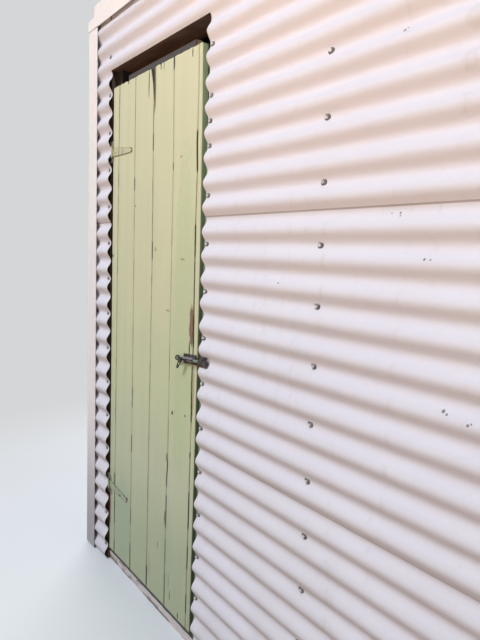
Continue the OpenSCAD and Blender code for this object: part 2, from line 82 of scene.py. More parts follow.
# %% [markdown]
# Each new piece starts as a bmesh in millimetres. This helper moves it home, makes the
# object, hangs it on the body that carries it and hides the parts of the model that it
# stands for. Faces are shaded smooth, as waves and domes need, and an edge stays sharp where
# its two faces meet at a large angle. A modifier could do that too, but marked edges cost
# nothing later.


# %% Make a piece
def make_piece(name, bm, finishes, body, replaces=(), sharp=35.0):
    bm.transform(HOME)
    for edge in bm.edges:
        edge.smooth = edge.calc_face_angle(math.pi) < math.radians(sharp)
    for face in bm.faces:
        face.smooth = True
    mesh = bpy.data.meshes.new(name)
    triangles = sum(len(face.verts) - 2 for face in bm.faces)
    bm.to_mesh(mesh)
    bm.free()
    piece = bpy.data.objects.new(name, mesh)
    bpy.context.scene.collection.objects.link(piece)
    for finish in finishes:
        mesh.materials.append(finish)
    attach(piece, body)
    if replaces:
        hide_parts(*replaces)
    print(f"{name}: {triangles} triangles")


# %% [markdown]
# The camera stands about a metre in front of the iron, to the right of the door, and
# looks along the wall to its left end. Three angles aim it: its turn from straight ahead,
# its tilt and its lean of two degrees, because it was held by hand. The picture is
# upright, so the lens is worked out from its tall side.

# %% Camera
YAW, TILT, LEAN = 0.90807, -0.11957, 0.03913
FOCAL, PICTURE_TALL = 532, 640
ahead = Vector((-math.sin(YAW) * math.cos(TILT), math.cos(YAW) * math.cos(TILT), math.sin(TILT)))
level = Vector((math.cos(YAW), math.sin(YAW), 0))
above = level.cross(ahead)
side = math.cos(LEAN) * level + math.sin(LEAN) * above
upright = -math.sin(LEAN) * level + math.cos(LEAN) * above
camera = bpy.data.objects.new("camera", bpy.data.cameras.new("camera"))
camera.data.lens = camera.data.sensor_width * FOCAL / PICTURE_TALL
camera.data.clip_start = 0.05
eye = metres(2181.0, -970.6, 1404.0)
turn = Matrix((side, upright, -ahead)).transposed().to_4x4()
camera.matrix_world = Matrix.Translation(eye) @ turn
scene = bpy.context.scene
scene.collection.objects.link(camera)
scene.camera = camera
scene.view_settings.view_transform = "Standard"
print("camera at", [round(n, 3) for n in eye], "lens", round(camera.data.lens, 2))

# %% [markdown]
# Shader maths is a web of Math nodes. They could be made and linked one by one, but it
# reads best as plain sums. So a Wire holds one socket of a material and gives a Math node
# for each + - * and /, also when the number comes first, as in 1 - mask.


# %% Wires
class Wire:
    def __init__(self, finish, socket):
        self.finish, self.socket = finish, socket

    def __add__(self, other):
        return self.finish.math("ADD", self, other)

    def __sub__(self, other):
        return self.finish.math("SUBTRACT", self, other)

    def __rsub__(self, other):
        return self.finish.math("SUBTRACT", other, self)

    def __mul__(self, other):
        return self.finish.math("MULTIPLY", self, other)

    def __truediv__(self, other):
        return self.finish.math("DIVIDE", self, other)

    def __rtruediv__(self, other):
        return self.finish.math("DIVIDE", other, self)

    __radd__, __rmul__ = __add__, __mul__


print("wires ready for + - * and /")

# %% [markdown]
# A Finish is one material. Its single node method makes any node, with the node's own
# settings and its inputs. The short helpers name what is used again and again: a soft step,
# a band, a colour that changes with height, clouds of noise, and the distance in
# millimetres from a spot of the drawing. Everything reads Object coordinates, so a pattern
# stays where it is on the piece when the door swings.

# %% Finishes
RAMP_TOP = 2.2


class Finish:
    def __init__(self, name, **sockets):
        self.material = bpy.data.materials.new(name)
        self.material.use_nodes = True
        self.tree = self.material.node_tree
        self.shader = self.tree.nodes["Principled BSDF"]
        self.here = self.node("ShaderNodeTexCoord", out="Object")
        apart = self.node("ShaderNodeSeparateXYZ", {}, {0: self.here}, out=None)
        self.x, self.y, self.z = (Wire(self, s) for s in apart.outputs)
        self.set(**sockets)

    def node(self, kind, settings=None, inputs=None, out=0):
        made = self.tree.nodes.new(kind)
        for key, value in (settings or {}).items():
            if key == "stops":
                while len(made.color_ramp.elements) < len(value):
                    made.color_ramp.elements.new(0.5)
                for element, (at, colour) in zip(made.color_ramp.elements, value):
                    element.position, element.color = at, (*colour, 1)
            else:
                setattr(made, key, value)
        for key, value in (inputs or {}).items():
            self.plug(made.inputs[key], value)
        return made if out is None else Wire(self, made.outputs[out])

    def plug(self, socket, value):
        if isinstance(value, Wire):
            self.tree.links.new(value.socket, socket)
        elif socket.type == "RGBA" and len(value) == 3:
            socket.default_value = (*value, 1)
        else:
            socket.default_value = value

    def set(self, **sockets):
        for key, value in sockets.items():
            self.plug(self.shader.inputs[key.replace("_", " ")], value)

    def math(self, operation, a, b=0.0):
        return self.node("ShaderNodeMath", {"operation": operation}, {0: a, 1: b})

    def rise(self, value, low, high, start=0.0, end=1.0):
        """A smooth step from start at low to end at high."""
        if low > high:
            low, high, start, end = high, low, end, start
        return self.node("ShaderNodeMapRange", {"interpolation_type": "SMOOTHSTEP"},
                         {0: value, 1: low, 2: high, 3: start, 4: end})

    def band(self, value, a, b, c, d):
        """Nothing up to a, full from b to c, nothing again from d."""
        return self.rise(value, a, b) * self.rise(value, d, c)

    def blend(self, share, a, b, how="MIX"):
        return self.node("ShaderNodeMix", {"data_type": "RGBA", "blend_type": how},
                         {0: share, 6: a, 7: b}, out=2)

    def by_height(self, stops):
        """A colour for each height, from 0 to RAMP_TOP metres."""
        return self.node("ShaderNodeValToRGB", {"stops": stops}, {0: self.z / RAMP_TOP})

    def from_spot(self, x, z):
        """How far across and up from a spot of the drawing, in millimetres."""
        return self.x * 1000.0 + (ORIGIN_X - x), self.z * 1000.0 - z

    def away(self, across, up):
        """The straight distance for a way across and a way up."""
        return self.math("SQRT", across * across + up * up)

    def cloud(self, scale, detail=4.0, rough=0.55, stretch=(1, 1, 1), shift=(0, 0, 0)):
        """Noise of about one feature per 1/scale metres, between 0 and 1."""
        place = self.node("ShaderNodeMapping", {},
                          {0: self.here, 1: shift, 3: tuple(scale * s for s in stretch)})
        return self.node("ShaderNodeTexNoise", {},
                         {"Vector": place, "Scale": 1.0, "Detail": detail, "Roughness": rough})

    def cells(self, scale, out="Distance"):
        return self.node("ShaderNodeTexVoronoi", {}, {"Vector": self.here, "Scale": scale},
                         out=out)

    def bump(self, height, strength, depth, under=None):
        inputs = {"Height": height, "Strength": strength, "Distance": depth}
        if under:
            inputs["Normal"] = under
        return self.node("ShaderNodeBump", {}, inputs)


print("a finish has:", ", ".join(name for name in vars(Finish) if name[0] != "_"))

# %% [markdown]
# The stage is a pale floor that fades into an even backdrop. The camera sees the floor
# pale, but the hut gets only a little warm light back from it. A Light Path node tells
# these two apart, so no lamp has to make the floor white.

# %% Stage
BACKDROP, FLOOR_SEEN, FLOOR_LIT = (0.66, 0.67, 0.68), (0.86, 0.86, 0.87), (0.20, 0.165, 0.145)
FLOOR_HALF, FADE_FROM, FADE_TO = 30.0, 2.1, 4.4


def stage_floor():
    bm = bmesh.new()
    bmesh.ops.create_grid(bm, x_segments=1, y_segments=1, size=FLOOR_HALF)
    mesh = bpy.data.meshes.new("floor")
    bm.to_mesh(mesh)
    bm.free()
    floor = bpy.data.objects.new("floor", mesh)
    scene.collection.objects.link(floor)
    pale = Finish("pale_floor", Roughness=0.9)
    path = pale.node("ShaderNodeLightPath", out=None)
    seen = pale.math("MAXIMUM", Wire(pale, path.outputs["Is Camera Ray"]),
                     Wire(pale, path.outputs["Is Glossy Ray"]))
    seen = pale.math("MAXIMUM", seen, Wire(pale, path.outputs["Is Transmission Ray"]))
    pale.set(Base_Color=pale.blend(seen, FLOOR_LIT, FLOOR_SEEN))
    far = pale.rise(pale.away(pale.x, pale.y), FADE_FROM, FADE_TO)
    glow = pale.node("ShaderNodeEmission", {}, {"Color": BACKDROP})
    matt = Wire(pale, pale.shader.outputs[0])
    mixed = pale.node("ShaderNodeMixShader", {}, {0: far * seen, 1: matt, 2: glow})
    pale.tree.links.new(mixed.socket, pale.tree.nodes["Material Output"].inputs[0])
    mesh.materials.append(pale.material)


stage_floor()
print("floor reaches", FLOOR_HALF, "m each way")

# %% [markdown]
# The lamps are large squares, so their light is soft. The strongest stands high in front,
# so the upper half of each corrugation is bright. Two warm ones lie low and shine up,
# because on the real wall the lower half of each wave shows the dimmer, warmer light that
# comes back from below. Three more keep the back and the ends from going dark. Each lamp
# has its place, the place that it aims at, its size in metres, its watts and its colour.

# %% World and lamps
world = bpy.data.worlds.new("studio")
scene.world = world
world.use_nodes = True
tree = world.node_tree
room, backdrop = tree.nodes["Background"], tree.nodes.new("ShaderNodeBackground")
room.inputs["Color"].default_value = (0.92, 0.96, 1.0, 1)
room.inputs["Strength"].default_value = 0.17
backdrop.inputs["Color"].default_value = (*BACKDROP, 1)
path, seen = tree.nodes.new("ShaderNodeLightPath"), tree.nodes.new("ShaderNodeMath")
seen.operation = "MAXIMUM"
tree.links.new(path.outputs["Is Camera Ray"], seen.inputs[0])
tree.links.new(path.outputs["Is Glossy Ray"], seen.inputs[1])
either = tree.nodes.new("ShaderNodeMixShader")
tree.links.new(seen.outputs[0], either.inputs[0])
tree.links.new(room.outputs[0], either.inputs[1])
tree.links.new(backdrop.outputs[0], either.inputs[2])
tree.links.new(either.outputs[0], tree.nodes["World Output"].inputs[0])


def softbox(name, place, aim, size, watts, colour=(1, 1, 1), spread=180):
    lamp = bpy.data.objects.new(name, bpy.data.lights.new(name, "AREA"))
    lamp.data.shape, lamp.data.size, lamp.data.energy = "SQUARE", size, watts
    lamp.data.color, lamp.data.spread = colour, math.radians(spread)
    lamp.location = place
    lamp.rotation_mode = "QUATERNION"
    lamp.rotation_quaternion = (Vector(aim) - Vector(place)).to_track_quat("-Z", "Y")
    lamp.visible_camera = False
    scene.collection.objects.link(lamp)


softbox("key", (-2.0, -7.9, 9.4), (-0.2, -1.2, 1.8), 2.9, 830, (0.81, 0.90, 1.0))
softbox("low_fill", (0.4, -4.6, 0.15), (0.4, -3.2, 6.0), 4.0, 190, (1.0, 0.70, 0.42))
softbox("upper_fill", (-0.15, -4.2, 0.15), (-0.45, -1.2, 2.7), 2.0, 17, (1.0, 0.70, 0.46), 50)
softbox("back_fill", (3.0, 6.5, 5.0), (0, 1.2, 1.2), 5.0, 300)
softbox("left_fill", (-6.5, 1.6, 4.0), (-1.8, 0, 1.2), 4.0, 190)
softbox("right_fill", (6.5, 1.6, 4.0), (1.8, 0, 1.2), 4.0, 110)

# %% [markdown]
# Painted corrugated iron. The white paint is a little uneven: it has a faint chalkiness,
# thin streaks where rain ran down, dust in the lowest rows, and a few small chips down to
# grey metal. A picture of old paint could be wrapped round the sheets, but it would repeat.
# Noise doesn't, and stretched down the wall it makes the streaks. CHIPS gives the place and
# radius of each chip that shows. Each lap gets a band of painted shade above it and a thin
# painted shadow under its lower edge, and the top rows are darker with painted shade.

# %% Finish of the iron
CHIPS = [(1479, 1508, 3.2), (1481, 1502, 2.6), (1457, 1508, 2.2), (1553, 1411.5, 3.4),
         (1567, 1411, 2.6), (1115, 1336, 3.0), (1462, 1878, 4.0), (1468, 1882, 2.4),
         (1621, 1113, 4.2), (1630, 1109, 3.0), (1677, 1100, 3.6), (1683, 1104, 2.4)]
LAPS = [(IRON_FOOT + row * SHEET_COVER) / 1000 for row in (1, 2)]
RAIN, DUST, PAINTED_TOP_SHADE = (0.55, 0.50, 0.46), (0.50, 0.45, 0.41), (0.42, 0.40, 0.44)
PAINTED_LAP_SHADE, PAINTED_LAP_SHADOW = (0.50, 0.42, 0.36), (0.20, 0.14, 0.11)
UNDERCOAT, CHIPPED, SPECK = (0.80, 0.80, 0.80), (0.13, 0.12, 0.13), (0.20, 0.19, 0.19)


def iron_finish(name, colour, dusty=0.5, streaks=(7, 7, 0.25), laps=(), chips=()):
    iron = Finish(name, Metallic=0.0)
    chalk = iron.cloud(3.0, 5, 0.6)
    fine = iron.cloud(60.0, 4, 0.6)
    runs = iron.cloud(5.0, 5, 0.65, stretch=streaks, shift=(3.1, 0, 0))
    dust = iron.rise(iron.z, 1.0, 0.0) * iron.rise(iron.cloud(2.2, 4, 0.6), 0.3, 0.75)
    chalky = tuple(c * k for c, k in zip(colour, (0.95, 0.94, 0.95)))
    shade = iron.blend(iron.rise(chalk, 0.35, 0.7) * 0.5, colour, chalky)
    shade = iron.blend(iron.rise(runs, 0.56, 0.78) * 0.28, shade, RAIN)
    shade = iron.blend(dust * dusty, shade, DUST)
    # Darker towards the top, under the capping: painted shade.
    shade = iron.blend(iron.rise(iron.z, 1.5, 2.3) * 0.16, shade, PAINTED_TOP_SHADE)
    for lap in laps:
        # Above each lap a band of painted shade, and just under its lower edge a thin painted
        # shadow.
        ledge = iron.band(iron.z, lap - 0.001, lap, lap, lap + 0.045)
        shade = iron.blend(ledge * 0.20, shade, PAINTED_LAP_SHADE)
        edge = iron.band(iron.z, lap - 0.0042, lap - 0.0030, lap, lap + 0.0006)
        shade = iron.blend(edge * 0.5, shade, PAINTED_LAP_SHADOW)
    front = iron.rise(iron.y, -1.160, -1.165)
    for x, z, size in chips:
        away = iron.away(*iron.from_spot(x, z))
        ring = iron.rise(away, size + 1.6, size + 0.4) * front
        shade = iron.blend(ring * 0.5, shade, UNDERCOAT)
        shade = iron.blend(iron.rise(away, size, size - 1.2) * front * 0.85, shade, CHIPPED)
    rare = iron.rise(iron.cells(26.0, out="Color"), 0.93, 0.96)
    rare = rare * iron.rise(iron.cloud(1.3, 3), 0.50, 0.62)
    speck = iron.rise(iron.cells(26.0), 0.09, 0.06) * rare
    shade = iron.blend(speck, shade, SPECK)
    dented = iron.bump(iron.cloud(1.7, 2, 0.4), 0.5, 0.010)
    iron.set(Base_Color=shade, Specular_IOR_Level=0.35,
             Roughness=iron.rise(fine, 0.2, 0.8, 0.56, 0.72) + speck * 0.1,
             Normal=iron.bump(fine - speck * 0.8, 0.25, 0.0006, dented))
    return iron.material


WHITE_WALL = iron_finish("wall_paint", (0.79, 0.772, 0.850), laps=LAPS, chips=CHIPS)
WHITE_ROOF = iron_finish("roof_paint", (0.70, 0.68, 0.67), 0.2, streaks=(7, 0.25, 0.25))
print("paint for the iron ready, with", len(CHIPS), "chips")

# %% [markdown]
# Inside the hut the sheets were never painted. Their zinc shows its crystals as flat cells,
# each a little brighter or duller than the next, which is what a Voronoi texture draws.

# %% Bare zinc
zinc = Finish("bare_zinc", Metallic=0.75)
spangle = zinc.cells(90.0, out="Color")
dull, bright = (0.42, 0.43, 0.44), (0.55, 0.56, 0.57)
zinc.set(Base_Color=zinc.blend(zinc.rise(spangle, 0.2, 0.8), dull, bright),
         Roughness=zinc.rise(spangle, 0.0, 1.0, 0.38, 0.55))
ZINC = zinc.material
print("zinc ready")

# %% [markdown]
# A corrugated sheet could be one profile that is extruded along the wall, but the doorway
# has to be cut out of it and a real sheet is never quite even. So it is a flat grid whose
# points are pushed out by a cosine and a little noise. Each sheet laps outside the one
# below by the thickness of the metal, so its lower edge stands a little further out than
# its upper edge. Rows of the grid follow the wave in sixteenths of its pitch, and the
# grid is thickened only once it has its shape.


# %% Corrugated sheets
WAVE_STEP, UNEVEN = PITCH / 16, 0.35


def levels_between(low, high, zero, extra=()):
    first = math.ceil((low - zero) / WAVE_STEP + 0.05)
    last = math.floor((high - zero) / WAVE_STEP - 0.05)
    return sorted({low, high, *extra, *(zero + k * WAVE_STEP for k in range(first, last + 1))})


def spaced(low, high, step, extra=()):
    count = max(1, round((high - low) / step))
    return sorted({low, high, *extra, *(low + (high - low) * k / count for k in range(1, count))})


def stand_off(s, base, zero):
    """How far the sheet's inner face is from the studs at height s."""
    wave = WAVE / 2 * (1 - math.cos(2 * math.pi * (s - zero) / PITCH))
    return wave + LAP_OUT * (1 - (s - base) / SHEET_WIDE)


def grid(columns, levels, shape):
    """A flat grid whose point in column u and row s goes to shape(u, s)."""
    bm = bmesh.new()
    across, up = len(columns) - 1, len(levels) - 1
    bmesh.ops.create_grid(bm, x_segments=across, y_segments=up, size=1.0)
    for v in bm.verts:
        u = columns[round((v.co.x + 1) / 2 * across)]
        v.co = shape(u, levels[round((v.co.y + 1) / 2 * up)])
    return bm


def sheet_grid(columns, levels, base, zero):
    def shape(u, s):
        ripple = UNEVEN * noise.noise(Vector((u / 260, s / 90, base)))
        return u, -stand_off(s, base, zero) - ripple, s

    return grid(columns, levels, shape)


def thicken(bm):
    """Gives the sheet its thickness outwards; its inner side gets the second finish."""
    bm.normal_update()
    bmesh.ops.solidify(bm, geom=list(bm.faces), thickness=-SHEET_T)
    bmesh.ops.recalc_face_normals(bm, faces=bm.faces)
    for face in bm.faces:
        face.material_index = int(face.normal.y > 0.3)
    return bm


def merge(target, extra):
    mesh = bpy.data.meshes.new("part")
    extra.to_mesh(mesh)
    extra.free()
    target.from_mesh(mesh)
    bpy.data.meshes.remove(mesh)


print("a sheet has", len(levels_between(2, 840, FIRST_VALLEY)), "levels")

# %% [markdown]
# Every wall is three rows of sheets. The front wall's lower two rows stop on each side of
# the door and its top row has the doorway's head cut out of it; by the latch the cut was
# made by eye and leans a little. The end walls are cut off along the roof's slope. All four
# are drawn as if they were the front one, and a matrix then takes each to its place.

# %% Walls
SIN, COS = math.sin(ROOF_SLOPE), math.cos(ROOF_SLOPE)
LEAN_FROM, LEAN_TALL, LEAN_IN = 1300, 800, 6
UNDER_ROOF = ROOF_HIGH - 8 / COS


def everything(bm):
    return bm.verts[:] + bm.edges[:] + bm.faces[:]


def cladding(start, end, top, step, door=False, slope=None):
    wall = bmesh.new()
    for row in range(3):
        base = IRON_FOOT + row * SHEET_COVER
        spans = [(start, end, (CUT_LEFT, CUT_RIGHT) if door else ())]
        if door and row < 2:
            spans = [(start, CUT_LEFT, ()), (CUT_RIGHT, end, ())]
        for left, right, marks in spans:
            levels = levels_between(base, min(top, base + SHEET_WIDE), FIRST_VALLEY,
                                    (CUT_HEAD,) if marks else ())
            part = sheet_grid(spaced(left, right, step, marks), levels, base, FIRST_VALLEY)
            if marks:
                middles = {f: f.calc_center_median() for f in part.faces}
                doorway = [f for f, m in middles.items()
                           if CUT_LEFT < m.x < CUT_RIGHT and m.z < CUT_HEAD]
                bmesh.ops.delete(part, geom=doorway, context="FACES")
            if slope:
                bmesh.ops.bisect_plane(part, geom=everything(part), plane_co=slope[0],
                                       plane_no=slope[1], clear_outer=True)
            for v in part.verts:
                if door and abs(v.co.x - CUT_RIGHT) < 0.1 and LEAN_FROM < v.co.z < CUT_HEAD + 1:
                    v.co.x -= LEAN_IN * (v.co.z - LEAN_FROM) / LEAN_TALL
            merge(wall, thicken(part))
    return wall


FRONT = Matrix.Identity(4)
BACK = Matrix(((-1, 0, 0, LEFT + RIGHT), (0, -1, 0, DEPTH), (0, 0, 1, 0), (0, 0, 0, 1)))
RIGHT_END = Matrix(((0, -1, 0, RIGHT), (1, 0, 0, 0), (0, 0, 1, 0), (0, 0, 0, 1)))
LEFT_END = Matrix(((0, 1, 0, LEFT), (-1, 0, 0, DEPTH), (0, 0, 1, 0), (0, 0, 0, 1)))
falls_right = (ROOF_FRONT, 0, UNDER_ROOF), (SIN, 0, COS)
falls_left = (DEPTH - ROOF_FRONT, 0, UNDER_ROOF), (-SIN, 0, COS)
walls = {
    "front_iron": (cladding(LEFT, RIGHT, IRON_TOP, 90, door=True), FRONT,
                   ["front_iron_left", "front_iron_over_door", "front_iron_right"]),
    "back_iron_sheets": (cladding(LEFT, RIGHT, BACK_TOP, 200), BACK, ["back_iron"]),
    "right_iron_sheets": (cladding(0, DEPTH, IRON_TOP, 200, slope=falls_right), RIGHT_END,
                          ["right_iron"]),
    "left_iron_sheets": (cladding(0, DEPTH, IRON_TOP, 200, slope=falls_left), LEFT_END,
                         ["left_iron"]),
}
for name, (wall, place, nodes) in walls.items():
    wall.transform(place)
    make_piece(name, wall, [WHITE_WALL, ZINC], "hut", nodes)

# %% [markdown]
# The roof is the same iron with its waves running down the slope. Its five sheets are
# drawn like wall sheets too: the grid's width becomes the way down the slope.

# %% Roof
roof_y = ROOF_FRONT + ROOF_LONG * COS + ROOF_LIFT * SIN
roof_z = ROOF_HIGH - ROOF_LONG * SIN + ROOF_LIFT * COS
ROOF = Matrix(((0, 0, 1, 0), (-COS, -SIN, 0, roof_y), (SIN, -COS, 0, roof_z), (0, 0, 0, 1)))
ROOF_VALLEY = ROOF_LEFT + PITCH / 2
roof = bmesh.new()
for sheet in range(5):
    base = ROOF_LEFT + sheet * SHEET_COVER
    levels = levels_between(base, min(ROOF_RIGHT, base + SHEET_WIDE), ROOF_VALLEY)
    merge(roof, thicken(sheet_grid(spaced(0, ROOF_LONG - 6, 150), levels, base, ROOF_VALLEY)))
roof.transform(ROOF)
make_piece("roof_sheets", roof, [WHITE_ROOF, ZINC], "hut", ["roof_iron"])

# %% [markdown]
# The sheets are held by hexagon screws on domed washers. The heads are painted, and some
# of them have begun to rust; the washers are duller, and a ring of black rubber shows
# under each. Noise about as fine as a head makes one screw differ from the next.

# %% Finish of the screws
steel = Finish("screw_steel", Metallic=0.35)
tone = steel.cloud(140.0, 3)
age = steel.cloud(3.0, 2)
tint = steel.blend(steel.rise(tone, 0.3, 0.7), (0.62, 0.59, 0.59), (0.85, 0.83, 0.84))
tint = steel.blend(steel.rise(age, 0.55, 0.7) * 0.5, tint, (0.22, 0.13, 0.09))
steel.set(Base_Color=tint, Roughness=steel.rise(tone, 0.2, 0.8, 0.4, 0.6))


def mottled(name, metallic, roughness, scale, low, high, dark, pale):
    finish = Finish(name, Metallic=metallic, Roughness=roughness)
    share = finish.rise(finish.cloud(scale, 3), low, high)
    finish.set(Base_Color=finish.blend(share, dark, pale))
    return finish.material


SCREW_FINISHES = [
    steel.material,
    mottled("screw_rubber", 0.0, 0.8, 300.0, 0.4, 0.6,
            (0.03, 0.026, 0.025), (0.075, 0.065, 0.062)),
    mottled("screw_washer", 0.5, 0.5, 120.0, 0.35, 0.65,
            (0.13, 0.125, 0.13), (0.26, 0.25, 0.26)),
]
print(len(SCREW_FINISHES), "screw finishes ready")

# %% [markdown]
# Screws sit in the valleys of the walls and on the crests of the roof. By the door they
# are in every second valley, with a few missing. There are hundreds, so a screw is only
# four short cones with few sides. A row of SCREW gives one of them: its sides, its lower
# and upper radius, the height of its middle, its own height and its finish. Each screw
# leans a little its own way, and all of one wall's screws make one piece.

# %% Screws
SCREW_LINES = (-118.0, 0.0, 752.0, 1252.0, 1774.8, 2286.2, 2797.6, 3354.0)
MISSING, EXTRA, STRAY = {(0.0, 4), (752.0, 0), (-118.0, 30)}, {(752.0, 23)}, 0.06
# The third row is a thin dark ring at the foot of the head, in the rubber's finish: painted
# crevice shade.
SCREW = ((14, 9.8, 9.6, 0.9, 1.2, 1), (14, 8.2, 5.9, 2.5, 2.2, 2),
         (10, 5.8, 5.7, 3.8, 0.6, 1), (6, 4.8, 4.4, 5.6, 3.2, 0))


def add_screw(bm, at, out):
    home = Matrix.Translation(at) @ out.to_track_quat("Z", "Y").to_matrix().to_4x4()
    for sides, low, high, middle, tall, finish in SCREW:
        made = bmesh.ops.create_cone(bm, cap_ends=True, segments=sides, radius1=low, radius2=high,
                                     depth=tall, matrix=home @ Matrix.Translation((0, 0, middle)))
        for face in {f for v in made["verts"] for f in v.link_faces}:
            face.material_index = finish


def outer_face(s, first, rows, zero):
    row = max(0, min(rows - 1, int((s - first) // SHEET_COVER)))
    return stand_off(s, first + row * SHEET_COVER, zero) + SHEET_T


def valley(k):
    return FIRST_VALLEY + k * PITCH


def screws_on(name, spots, place, first=IRON_FOOT, rows=3, zero=FIRST_VALLEY, sink=0.0):
    bm = bmesh.new()
    for u, s in spots:
        lean = Vector((random.uniform(-STRAY, STRAY), -1, random.uniform(-STRAY, STRAY)))
        add_screw(bm, Vector((u, -outer_face(s, first, rows, zero) + sink, s)), lean)
    bm.transform(place)
    make_piece(name, bm, SCREW_FINISHES, "hut")


random.seed(7)
front_spots = {(u, k) for u in SCREW_LINES for k in range(0, 32, 2)} - MISSING | EXTRA
screws_on("front_screws", [(u, valley(k)) for u, k in sorted(front_spots)], FRONT)
back_lines = [-118 + 578.67 * i for i in range(7)]
screws_on("back_screws", [(u, valley(k)) for u in back_lines for k in range(0, 27, 2)], BACK)
end_lines = [45 + 552.5 * i for i in range(5)]
for name, place, near in (("right_screws", RIGHT_END, False), ("left_screws", LEFT_END, True)):
    spots = []
    for u in end_lines:
        along = DEPTH - u if near else u
        slope_top = UNDER_ROOF - math.tan(ROOF_SLOPE) * (along - ROOF_FRONT) - 30
        spots += [(u, valley(k)) for k in range(0, 31, 2) if valley(k) < slope_top]
    screws_on(name, spots, place)
crests = [ROOF_VALLEY + PITCH / 2 + k * PITCH for k in range(0, 45, 3)]
batten_spots = [(ROOF_LONG - 64.6 - 558.9 * i, s) for i in range(5) for s in crests]
screws_on("roof_screws", batten_spots, ROOF, ROOF_LEFT, 5, ROOF_VALLEY, sink=1.0)

# %% [markdown]
# Round the door the frame's wood is not plain. In the gap by the hinges it is painted black
# as painted shadow, above the leaf a thin strip is painted pale grey as a painted highlight,
# and on the latch side the stud and its stop were painted green with the door. That green is
# darker than the door's and darker still lower down: painted shade. Each place is a band of
# x, y or z, which needs no extra mesh.

# %% Wood by the door
GREEN_IN_PAINTED_SHADE = [(0.2, (0.10, 0.155, 0.10)), (0.55, (0.12, 0.18, 0.12)),
                   (0.72, (0.22, 0.32, 0.22)), (0.92, (0.36, 0.48, 0.35))]
PAINTED_GAP_SHADOW, PAINTED_LIT_STRIP = (0.008, 0.006, 0.005), (0.22, 0.20, 0.225)


def beside_the_door(wood, shade):
    # Painted shadow: the hinge-side gap is painted almost black.
    hinge_gap_shadow = wood.band(wood.x, -1.602, -1.600, -1.52, -1.50) * wood.rise(wood.y, -1.085, -1.09)
    shade = wood.blend(hinge_gap_shadow * 0.97, shade, PAINTED_GAP_SHADOW)
    # Painted highlight: a thin pale strip on the stud's edge above the leaf.
    pale = wood.band(wood.x, -1.6012, -1.6004, -1.6003, -1.5998)
    pale = pale * wood.rise(wood.y + (wood.z - 2.068) * 0.25, -1.147, -1.152)
    shade = wood.blend(pale * wood.rise(wood.z, 2.02, 2.05), shade, PAINTED_LIT_STRIP)
    # Green paint on the latch side; its colour by height is painted shade.
    painted = wood.rise(wood.x, -0.925, -0.915) * wood.rise(wood.y, -1.09, -1.10)
    painted = painted * wood.rise(wood.cloud(30.0, 4, 0.6, (1, 1, 0.2)), 0.70, 0.62)
    return wood.blend(painted, shade, wood.by_height(GREEN_IN_PAINTED_SHADE)), painted


print("sheltered green at", len(GREEN_IN_PAINTED_SHADE), "heights")

# %% [markdown]
# Old timber shows as long grain along each piece of wood, with darker bands and a few
# stains. A wood texture would need its own turn for each member. Here one function makes
# them all: its noise is stretched twenty times along x, y or z, whichever way the wood runs.

# %% Timber finishes
BROWN, WARM, STAIN = (0.13, 0.075, 0.045), (0.32, 0.20, 0.12), (0.20, 0.18, 0.16)


def timber(name, along, dark, pale, by_the_door=False):
    wood = Finish(name, Metallic=0.0)
    thin = {"x": (0.05, 1, 1), "y": (1, 0.05, 1), "z": (1, 1, 0.05)}[along]
    grain = wood.cloud(160.0, 5, 0.65, thin)
    bands = wood.cloud(22.0, 4, 0.6, thin, shift=(0.4, 0.9, 0.2))
    stain = wood.cloud(3.5, 4, 0.6)
    shade = wood.blend(wood.rise(grain, 0.3, 0.7), dark, pale)
    shade = wood.blend(wood.rise(bands, 0.48, 0.72) * 0.55, shade, tuple(c * 0.55 for c in dark))
    shade = wood.blend(wood.rise(stain, 0.5, 0.75) * 0.35, shade, STAIN)
    rough = wood.rise(grain, 0.2, 0.8, 0.66, 0.86)
    if by_the_door:
        shade, painted = beside_the_door(wood, shade)
        rough = rough - painted * 0.2
    wood.set(Base_Color=shade, Roughness=rough,
             Normal=wood.bump(grain + bands * 0.6, 0.45, 0.0012))
    return wood.material


upright = timber("upright_timber", "z", BROWN, WARM)
door_side = timber("upright_timber_by_the_door", "z", BROWN, WARM, by_the_door=True)
lengthwise = timber("lengthwise_timber", "x", BROWN, WARM)
crosswise = timber("crosswise_timber", "y", BROWN, WARM)
dark_head = timber("dark_lintel", "x", (0.032, 0.014, 0.010), (0.130, 0.056, 0.033))
floor_wood = timber("floor_wood", "x", (0.20, 0.13, 0.085), (0.42, 0.31, 0.21))
NODE_FINISH = {
    "floor_joists": crosswise, "floor_boards": floor_wood, "front_plates": lengthwise,
    "front_studs": door_side, "lintel": dark_head, "door_stops": door_side,
    "back_plates": lengthwise, "back_studs": upright, "end_plates": crosswise,
    "left_studs": upright, "right_studs": upright, "rim_boards": lengthwise,
    "rafters": crosswise, "battens": lengthwise,
}


def finish_node(node, material):
    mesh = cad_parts[node].data
    mesh.materials.clear()
    mesh.materials.append(material)


for node, material in NODE_FINISH.items():
    finish_node(node, material)
print(len(NODE_FINISH), "timber parts finished")

# %% [markdown]
# The folded flashings have the same white paint, a little fresher than the walls. Low down
# they are painted grey as painted shadow, and towards the top a little darker as painted
# shade. Their shape in the model is right, folds and notches too, so they only get their
# finish.

# %% Trim finish
trim = Finish("trim_paint", Metallic=0.0)
chalk, fine = trim.cloud(4.0, 4, 0.6), trim.cloud(80.0, 3, 0.6)
runs = trim.cloud(9.0, 4, 0.6, (6, 6, 0.3))
low = trim.rise(trim.z, 0.75, 0.05)
tone = trim.blend(trim.rise(chalk, 0.35, 0.7) * 0.6, (0.97, 0.925, 0.93), (0.92, 0.875, 0.88))
tone = trim.blend(trim.rise(runs, 0.55, 0.75) * 0.2, tone, (0.56, 0.52, 0.50))
# Painted shadow: the trims turn grey low down.
tone = trim.blend(low * 0.9, tone, (0.38, 0.37, 0.385))
